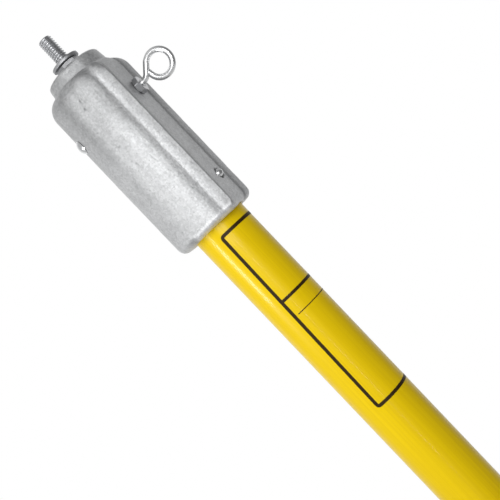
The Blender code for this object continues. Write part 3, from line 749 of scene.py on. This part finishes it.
def nut_mesh(name, flats, bottom, top, thread_radius, pitch):
    """A nut with 30-degree corners and a real thread in its bore."""
    face = flats / 2 * FACE_SHARE
    bore_length = top - bottom - 2 * BORE_LEAD
    bore_rows = round(bore_length / pitch * 10)

    def reach(angle):
        return hexagon_reach(angle, flats)

    rings = [
        round_ring(thread_radius + BORE_LEAD, top),
        round_ring(face, top),
        hexagon_ring(reach, lambda r: top - max(r - face, 0.0) * CORNER_SLOPE),
        hexagon_ring(reach, lambda r: bottom + max(r - face, 0.0) * CORNER_SLOPE),
        round_ring(face, bottom),
        round_ring(thread_radius + BORE_LEAD, bottom),
    ]
    for row in range(bore_rows + 1):
        height = bottom + BORE_LEAD + bore_length * row / bore_rows

        def bore(angle):
            crest = thread_radius + BORE_CLEARANCE
            return crest - pitch * thread_sink(angle, height, pitch) * 0.9

        rings.append(hexagon_ring(bore, lambda r: height))
    return skin(name, rings, joined=True)


# %% Jam nut
STUD_PITCH = INCH / 18
STUD_RADIUS = 5 / 32 * INCH
JAM_FLATS = 0.5 * INCH
JAM_NUT_TURN = radians(28.7)
jam_low, jam_high = (corner.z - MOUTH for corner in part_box("jam_nut"))
jam_mesh = nut_mesh("jam_nut_threaded", JAM_FLATS, jam_low, jam_high, STUD_RADIUS, STUD_PITCH)
place_piece("jam_nut_threaded", jam_mesh, dull_zinc, "jam_nut", ["jam_nut"],
            turn=Matrix.Rotation(JAM_NUT_TURN, 4, "Z"), sharp=25.0)

# %% Seat washer
WASHER_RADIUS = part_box("seat_washer")[1].x
WASHER_BORE = 4.35 * MM
WASHER_EDGE = 0.4 * MM
WASHER_BURR = 0.15 * MM
WASHER_LEAD = 0.3 * MM
washer_low, washer_high = (corner.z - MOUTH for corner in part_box("seat_washer"))


def washer_mesh():
    """Stamped from sheet: the top edge is rolled over and the bottom one has a small burr."""
    burr = WASHER_BURR
    outline = arc(WASHER_RADIUS - WASHER_EDGE, washer_high - WASHER_EDGE, WASHER_EDGE, 90, 0, 5)
    outline += arc(WASHER_RADIUS - burr, washer_low + burr, burr, 0, -90, 3)
    outline += arc(WASHER_BORE + burr, washer_low + burr, burr, -90, -180, 3)
    outline += arc(WASHER_BORE + WASHER_LEAD, washer_high - WASHER_LEAD, WASHER_LEAD, 180, 90, 4)
    return turned("seat_washer_stamped", outline)


place_piece("seat_washer_stamped", washer_mesh(), dull_zinc, "washer",
            ["seat_washer"])

# %% [markdown]
# ## The tool stud
#
# The stud is a hexagon head screw put in from inside the nose. Only its thread shows, but the
# head goes with it, because someone may open the model later. Head and rod are two skins in
# one mesh.

# %% Tool stud
STUD_HEAD_HEIGHT = 13 / 64 * INCH
STUD_CHAMFER = 0.75 * MM
stud_low, stud_tip = (corner.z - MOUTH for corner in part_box("tool_stud"))
stud_seat = stud_low + STUD_HEAD_HEIGHT


def stud_mesh():
    thread = threaded_rings(STUD_RADIUS, STUD_PITCH, stud_seat - 1.0 * MM, stud_tip,
                            chamfer=STUD_CHAMFER)
    face = JAM_FLATS / 2 * FACE_SHARE

    def reach(angle):
        return hexagon_reach(angle, JAM_FLATS)

    head = [
        round_ring(2.0 * MM, stud_low),
        round_ring(face, stud_low),
        hexagon_ring(reach, lambda r: stud_low + max(r - face, 0.0) * CORNER_SLOPE),
        hexagon_ring(reach, lambda r: stud_seat),
    ]
    work = bmesh.new()
    work.from_mesh(skin("tool_stud_thread", thread))
    work.from_mesh(skin("tool_stud_head", head))
    mesh = bpy.data.meshes.new("tool_stud_threaded")
    work.to_mesh(mesh)
    work.free()
    return mesh


place_piece("tool_stud_threaded", stud_mesh(), zinc_plate, "pole",
            ["tool_stud"], sharp=50.0)

# %% [markdown]
# ## The wire eye and its lock nut
#
# The eye is one piece of wire: a rolled thread, a bend, a straight slope, and a ring closed
# against the slope. Its middle line is worked out once, and the wire is skinned over rings that
# stand square to it. In the threaded stretch the ring's radius follows the thread. The wire was
# cut at a slant, which lets its end lie against the slope.

# %% Wire eye
EYE_WIRE = 3.4 * MM
EYE_THREAD_RADIUS = 0.164 / 2 * INCH
EYE_PITCH = INCH / 32
EYE_BEND_RADIUS = 5.0 * MM
EYE_SLOPE = radians(46.0)
EYE_CLOSE_ANGLE = -170.0
EYE_END_SLANT = 0.85
EYE_THREAD_OUT = 2.2 * MM
EYE_RUN_OUT = 0.8 * MM
EYE_TIP_CONE = 0.5 * MM
EYE_STEPS = 40
eye_low, eye_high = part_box("eye_bolt")
nut_low, nut_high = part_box("eye_lock_nut")
EYE_HEIGHT = (nut_low.z + nut_high.z) / 2 - MOUTH
EYE_RING_OD = eye_high.z - eye_low.z
EYE_RING_LIFT = (eye_high.z + eye_low.z) / 2 - MOUTH - EYE_HEIGHT
EYE_RING_DISTANCE = eye_high.x - EYE_RING_OD / 2


def eye_line():
    """Points of the wire's middle line past the thread, in X and Z, with its direction."""
    ring = (EYE_RING_OD - EYE_WIRE) / 2
    touch_x = EYE_RING_DISTANCE - ring * sin(EYE_SLOPE)
    touch_z = EYE_RING_LIFT + ring * cos(EYE_SLOPE)
    corner_x = touch_x - touch_z / tan(EYE_SLOPE)
    setback = EYE_BEND_RADIUS * tan(EYE_SLOPE / 2)
    line = []
    for i in range(17):
        angle = EYE_SLOPE * i / 16
        line.append((corner_x - setback + EYE_BEND_RADIUS * sin(angle),
                     EYE_BEND_RADIUS * (1 - cos(angle)), angle))
    bend_x, bend_z, angle = line[-1]
    for i in range(1, 12):
        share = i / 12
        line.append((bend_x + (touch_x - bend_x) * share, bend_z + (touch_z - bend_z) * share,
                     EYE_SLOPE))
    start = pi / 2 + EYE_SLOPE
    for i in range(129):
        angle = start + (radians(EYE_CLOSE_ANGLE) - start) * i / 128
        line.append((EYE_RING_DISTANCE + ring * cos(angle), EYE_RING_LIFT + ring * sin(angle),
                     angle - pi / 2))
    return line


def eye_mesh():
    """Rings along the wire: the threaded end first, then the bend, the slope and the ring."""
    rings = []
    line = eye_line()
    thread_end = min(nut_high.x + EYE_THREAD_OUT, line[0][0] - 1.0 * MM)
    inner_end = eye_low.x
    rows = round((thread_end - inner_end) / EYE_PITCH * 10)

    def ring_at(x, z, direction, radius_at, bevel=0.0):
        points = []
        for i in range(EYE_STEPS):
            around = 2 * pi * i / EYE_STEPS
            r = radius_at(around)
            side, up = r * sin(around), r * cos(around)
            ahead = bevel * (EYE_WIRE / 2 - up)
            points.append((x - up * sin(direction) + ahead * cos(direction), side,
                           z + up * cos(direction) + ahead * sin(direction)))
        rings.append(points)

    for row in range(rows + 1):
        x = inner_end + (thread_end - inner_end) * row / rows
        fade = min(max((thread_end - x) / EYE_RUN_OUT, 0.0), 1.0)
        end_cone = EYE_THREAD_RADIUS - max(EYE_TIP_CONE - (x - inner_end), 0.0)

        def radius_at(around, x=x, fade=fade, end_cone=end_cone):
            thread = EYE_THREAD_RADIUS - EYE_PITCH * thread_sink(around, x, EYE_PITCH)
            return min(thread * fade + EYE_WIRE / 2 * (1 - fade), end_cone)

        ring_at(x, 0.0, 0.0, radius_at)
    for x, z, direction in line:
        ring_at(x, z, direction, lambda around: EYE_WIRE / 2)
    end_x, end_z, direction = line[-1]
    # Millimetres past the end, and share of the radius, so that the cut has eased edges
    for ahead, shrink in ((0.12, 0.985), (0.2, 0.94), (0.24, 0.86)):
        ring_at(end_x + ahead * MM * cos(direction), end_z + ahead * MM * sin(direction),
                direction, lambda around, k=shrink: EYE_WIRE / 2 * k, EYE_END_SLANT)
    return skin("wire_eye", rings)


place_piece("wire_eye", eye_mesh(), bright_wire, "eye_bolt", ["eye_bolt"],
            height=MOUTH + EYE_HEIGHT, sharp=50.0)

# %% Eye lock nut
EYE_NUT_FLATS = 11 / 32 * INCH
EYE_NUT_TURN = radians(19.0)
nut = nut_mesh("eye_nut_threaded", EYE_NUT_FLATS, nut_low.x, nut_high.x, EYE_THREAD_RADIUS,
               EYE_PITCH)
nut_turn = Matrix.Rotation(pi / 2, 4, "Y") @ Matrix.Rotation(EYE_NUT_TURN, 4, "Z")
place_piece("eye_nut_threaded", nut, nut_zinc, "eye_nut", ["eye_lock_nut"],
            height=MOUTH + EYE_HEIGHT, turn=nut_turn, sharp=25.0)

# %% [markdown]
# ## Rivets
#
# Each rivet is a pin with a low dome, pressed by a cupped tool that leaves the dome bright. The
# frame's rivets have the right shape already, so each one is carried over as a welded copy whose
# facets are smoothed. Only the front one on the flat was drawn up further, out of its sunk
# spot face. Their soft metal and its small dents come from the material.

# %% Rivets
DOME_STRETCH = 1.45


def raised_dome(mesh):
    for vertex in mesh.vertices:
        past = vertex.co.x - SPOT_FLOOR
        if past > 0:
            vertex.co.x += past * (DOME_STRETCH - 1)
    return mesh


for node in ("upper_rivet_left", "upper_rivet_back", "lower_rivet_front", "lower_rivet_back"):
    mesh = welded_copy(node)
    if node == "lower_rivet_front":
        mesh = raised_dome(mesh)
    place_piece(node + "_formed", mesh, rivet_metal, "pole", [node],
                sharp=50.0)

# %% [markdown]
# ## The pole and its printed frame
#
# The tube keeps the frame's shape, with its facets smoothed. Its printed frame is a film of ink
# that wraps a little more than half way round. It could be painted by the material, but a thin
# raised film stays sharp from every distance. It is laid out flat, in lengths along and round
# the pole, and then bent round it.

# %% The pole
place_piece("pole_tube_coated", welded_copy("pole_tube"), gel_coat, "pole",
            ["pole_tube"])

# %% The printed frame
INK_FILM = 0.04 * MM
LINE_WIDTH = 1.85 * MM
DIVIDER_WIDTH = LINE_WIDTH * 0.9
RULE_WIDTH = 0.5 * MM
RULE_INSET = 3.2 * MM
FRAME_TOP = 5.4 * MM  # all four are measured down from the casting's mouth
FRAME_DIVIDER = 50.9 * MM
FRAME_RULE = 60.9 * MM
FRAME_BOTTOM = 123.6 * MM
FRAME_LEFT_ANGLE = -89.0
FRAME_WRAP = 190.0
FRAME_WIDTH = radians(FRAME_WRAP) * POLE_RADIUS
FRAME_SLANT = 1.5 * MM  # to the left, from top to bottom
FRAME_CORNER = 1.3 * MM
INK_STEP = 1.0 * MM


def rounded_rectangle(left, right, bottom, top, radius):
    """Points of a rounded rectangle's outline, counter-clockwise, about a step apart."""
    corners = ((right - radius, bottom + radius, -90), (right - radius, top - radius, 0),
               (left + radius, top - radius, 90), (left + radius, bottom + radius, 180))
    points = []
    for x, y, start in corners:
        for i in range(9):
            angle = radians(start + 90 * i / 8)
            points.append((x + radius * cos(angle), y + radius * sin(angle)))
    filled = []
    for (ax, ay), (bx, by) in zip(points, points[1:] + points[:1]):
        pieces = max(1, round(hypot(bx - ax, by - ay) / INK_STEP))
        for i in range(pieces):
            filled.append((ax + (bx - ax) * i / pieces, ay + (by - ay) * i / pieces))
    return filled


def on_pole(along, down, lift):
    """A point of the flat layout, bent round the pole."""
    slant = FRAME_SLANT * (down - FRAME_TOP) / (FRAME_BOTTOM - FRAME_TOP)
    angle = radians(FRAME_LEFT_ANGLE) + (along - slant) / POLE_RADIUS
    radius = POLE_RADIUS + lift
    return (radius * cos(angle), radius * sin(angle), -down)


def ink_line(outer, inner):
    """Four rings of a line's section, outer and inner edge, above and inside the skin."""
    return [
        [on_pole(x, y, -INK_FILM) for x, y in outer],
        [on_pole(x, y, INK_FILM) for x, y in outer],
        [on_pole(x, y, INK_FILM) for x, y in inner],
        [on_pole(x, y, -INK_FILM) for x, y in inner],
    ]


def ink_border():
    half = LINE_WIDTH / 2
    middle = rounded_rectangle(half, FRAME_WIDTH - half, FRAME_TOP + half, FRAME_BOTTOM - half,
                               FRAME_CORNER)
    count = len(middle)
    outer, inner = [], []
    for i in range(count):
        ax, ay = middle[i - 1]
        bx, by = middle[(i + 1) % count]
        length = hypot(bx - ax, by - ay)
        nx, ny = (by - ay) / length, -(bx - ax) / length
        x, y = middle[i]
        outer.append((x + nx * half, y + ny * half))
        inner.append((x - nx * half, y - ny * half))
    return skin("ink_border", ink_line(outer, inner), joined=True)


def ink_bar(name, start, end, middle, width):
    """A straight line round the pole at one height."""
    pieces = max(2, round((end - start) / INK_STEP))
    low, high = middle - width / 2, middle + width / 2
    rings = []
    for i in range(pieces + 1):
        x = start + (end - start) * i / pieces
        rings.append([on_pole(x, low, -INK_FILM), on_pole(x, low, INK_FILM),
                      on_pole(x, high, INK_FILM), on_pole(x, high, -INK_FILM)])
    return skin(name, rings)


divider = ink_bar("ink_divider", LINE_WIDTH / 2, FRAME_WIDTH - LINE_WIDTH / 2, FRAME_DIVIDER,
                  DIVIDER_WIDTH)
rule = ink_bar("ink_rule", RULE_INSET, FRAME_WIDTH - RULE_INSET, FRAME_RULE, RULE_WIDTH)
for ink in (ink_border(), divider, rule):
    place_piece(ink.name, ink, printing_ink, "pole", sharp=30.0)

# %% [markdown]
# ## The butt cap
#
# A rubber cup is pushed over the butt end, so that the tube's edge doesn't fray on the ground.
# It is turned from one outline, with rounded bands that give the hand or a rack some grip.

# %% Butt cap
CAP_WALL = 1.9 * MM
CAP_CLEARANCE = 0.3 * MM
CAP_FLOOR = 3.4 * MM
CAP_FLOOR_CORNER = 0.8 * MM
CAP_BOTTOM_CORNER = 1.6 * MM
CAP_BANDS = 3
CAP_BAND_PITCH = 7.0 * MM
CAP_BAND_WIDTH = 3.0 * MM
cap_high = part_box("butt_cap")[1]
cap_bore = POLE_RADIUS + CAP_CLEARANCE
cap_outer = cap_bore + CAP_WALL


def cap_outline():
    lip = CAP_WALL / 3
    corner = CAP_FLOOR_CORNER
    outline = [(0.0, CAP_FLOOR), (cap_bore - corner, CAP_FLOOR)]
    outline += arc(cap_bore - corner, CAP_FLOOR + corner, corner, -90, 0, 4)
    outline += arc(cap_bore + lip, cap_high.z - lip, lip, 180, 90, 5)
    outline += arc(cap_outer - lip, cap_high.z - lip, lip, 90, 0, 5)
    for i in range(CAP_BANDS):
        middle = cap_high.z - CAP_BAND_PITCH * (i + 1)
        for k in range(13):
            share = k / 12
            rise = (cap_high.x - cap_outer) * sin(pi * share) ** 0.6
            outline.append((cap_outer + rise, middle + (0.5 - share) * CAP_BAND_WIDTH))
    corner = CAP_BOTTOM_CORNER
    outline += arc(cap_outer - corner, corner, corner, 0, -90, 8)
    outline.append((0.0, 0.0))
    return outline


place_piece("butt_cap_moulded", turned("butt_cap_moulded", cap_outline()), moulded_rubber,
            "pole", ["butt_cap"], height=0.0)

# %% [markdown]
# ## What is closed inside
#
# The foam, the plugs and the stud's spring washer never show, but they are real pieces. They
# keep the frame's shape and get the finish they'd have.

# %% Inner pieces
INNER_FINISH = {
    "foam_core": closed_cell_foam,
    "tip_plug": filled_resin,
    "butt_plug": filled_resin,
    "stud_lock_washer": zinc_plate,
}
for node, material in INNER_FINISH.items():
    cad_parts[node].data.materials.clear()
    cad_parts[node].data.materials.append(material)

# %% [markdown]
# ## Studio
#
# The photograph is a plain studio shot, with soft light from the front and the left and white
# paper behind. The paper is the world's colour for every ray that goes straight to the camera,
# and shiny metal sees a sheet of it behind the object. What lights the object is a quieter
# grey room, brighter on the left, so that metal keeps its shape.

# %% World
ROOM_BRIGHT = 0.52  # on the left
ROOM_DIM = 0.19  # on the right and below
ROOM_BLEND = 0.8  # cosines: from full dim to full bright over nearly the whole room
SHEET_EDGE = 0.18
SHEET_FULL = 0.8


def facing(tree, direction, low, high, level_low, level_high):
    """A level that changes with how far a ray points along one direction."""
    ray = add_node(tree, "ShaderNodeTexCoord").outputs["Generated"]
    along = add_node(tree, "ShaderNodeVectorMath", {"operation": "DOT_PRODUCT"})
    tree.links.new(ray, along.inputs[0])
    along.inputs[1].default_value = direction
    level = add_node(tree, "ShaderNodeMapRange", {"interpolation_type": "SMOOTHSTEP"},
                     Value=along.outputs["Value"], From_Min=low, From_Max=high,
                     To_Min=level_low, To_Max=level_high)
    return level.outputs[0]


def shown_white(tree, to_camera, to_metal):
    """How white the paper shows to the camera and, through glossy and clear rays, to metal."""
    paths = add_node(tree, "ShaderNodeLightPath")
    share = 0.0
    for ray, level in (("Is Camera Ray", to_camera), ("Is Glossy Ray", to_metal),
                       ("Is Transmission Ray", to_metal)):
        chosen = add_node(tree, "ShaderNodeMix", {"data_type": "FLOAT"},
                          Factor=paths.outputs[ray], A=share, B=level)
        share = chosen.outputs[0]
    return share


world = bpy.data.worlds.new("studio")
bpy.context.scene.world = world
world.use_nodes = True
tree = world.node_tree
tree.nodes.clear()
bright_side = (Vector((0, 0, 0.3)) - camera_right).normalized()
room_level = facing(tree, bright_side, -ROOM_BLEND, ROOM_BLEND, ROOM_DIM, ROOM_BRIGHT)
sheet_share = facing(tree, -camera_back, SHEET_EDGE, SHEET_FULL, 0.0, 1.0)
room = add_node(tree, "ShaderNodeBackground", Color=grey(1.0), Strength=room_level)
paper = add_node(tree, "ShaderNodeBackground", Color=grey(1.0), Strength=1.0)
chosen = add_node(tree, "ShaderNodeMixShader")
tree.links.new(shown_white(tree, 1.0, sheet_share), chosen.inputs[0])
tree.links.new(room.outputs[0], chosen.inputs[1])
tree.links.new(paper.outputs[0], chosen.inputs[2])
output = add_node(tree, "ShaderNodeOutputWorld")
tree.links.new(chosen.outputs[0], output.inputs["Surface"])

# %% [markdown]
# ## Lamps
#
# The key light is a broad one above the camera. A small one close to the head on the left
# brightens the casting's left side, and a tall narrow one draws the soft line that runs down
# the glossy pole. The last stands far behind the pole for the views from there. In the
# photograph's view it would only draw lines along glossy edges, so mirrors don't see it.

# %% Lamps


def soft_light(name, right, up, back, width, height, power):
    """A rectangular lamp to the right, up and back of the camera's target, aimed at it."""
    data = bpy.data.lights.new(name, "AREA")
    data.shape = "RECTANGLE"
    data.size = width
    data.size_y = height
    data.energy = power
    lamp = bpy.data.objects.new(name, data)
    bpy.context.scene.collection.objects.link(lamp)
    where = camera_right * right + Vector((0, 0, up)) + camera_back * back
    lamp.location = camera_target + where
    lamp.rotation_euler = where.to_track_quat("Z", "Y").to_euler()
    return lamp


soft_light("key_light", -0.04, 0.16, 0.6, 0.44, 0.3, 2.0)
soft_light("left_light", -0.4, -0.01, 0.17, 0.1, 0.08, 0.55)
soft_light("strip_light", 0.04, 0.0, 1.0, 0.03, 0.9, 0.7)
back_light = soft_light("back_light", 0.0, -0.3, -2.5, 1.5, 1.5, 34.0)
back_light.visible_camera = False
back_light.visible_glossy = False

# %% [markdown]
# ## Floor
#
# A plain pale floor lies under the butt end. The camera sees it lifted towards paper white, and
# it still takes the pole's shadow.

# %% Floor
FLOOR_RADIUS = 1.1
FLOOR_GAP = 0.5 * MM
FLOOR_WHITE = 0.6  # how far the floor is lifted towards paper white for the camera
FLOOR_WHITE_IN_METAL = 0.2  # and as it shows in shiny metal

floor_material, tree, shader = start_material("floor_paint", "#E9E9E9", 0.8)
paper = add_node(tree, "ShaderNodeEmission", Color=grey(1.0), Strength=1.0)
whitened = add_node(tree, "ShaderNodeMixShader")
tree.links.new(shown_white(tree, FLOOR_WHITE, FLOOR_WHITE_IN_METAL), whitened.inputs[0])
tree.links.new(shader.outputs[0], whitened.inputs[1])
tree.links.new(paper.outputs[0], whitened.inputs[2])
tree.links.new(whitened.outputs[0], tree.nodes["Material Output"].inputs["Surface"])
floor_mesh = bpy.data.meshes.new("floor")
work = bmesh.new()
bmesh.ops.create_circle(work, cap_ends=True, segments=96, radius=FLOOR_RADIUS)
bmesh.ops.translate(work, vec=(0.0, 0.0, -FLOOR_GAP), verts=work.verts)
work.to_mesh(floor_mesh)
work.free()
floor_mesh.materials.append(floor_material)
floor_piece = bpy.data.objects.new("floor", floor_mesh)
bpy.context.scene.collection.objects.link(floor_piece)

# %% [markdown]
# ## Last lines
#
# The picture is written without a film-like tone curve, so that a colour renders as it is
# given.

# %% View transform
bpy.context.scene.view_settings.view_transform = "Standard"
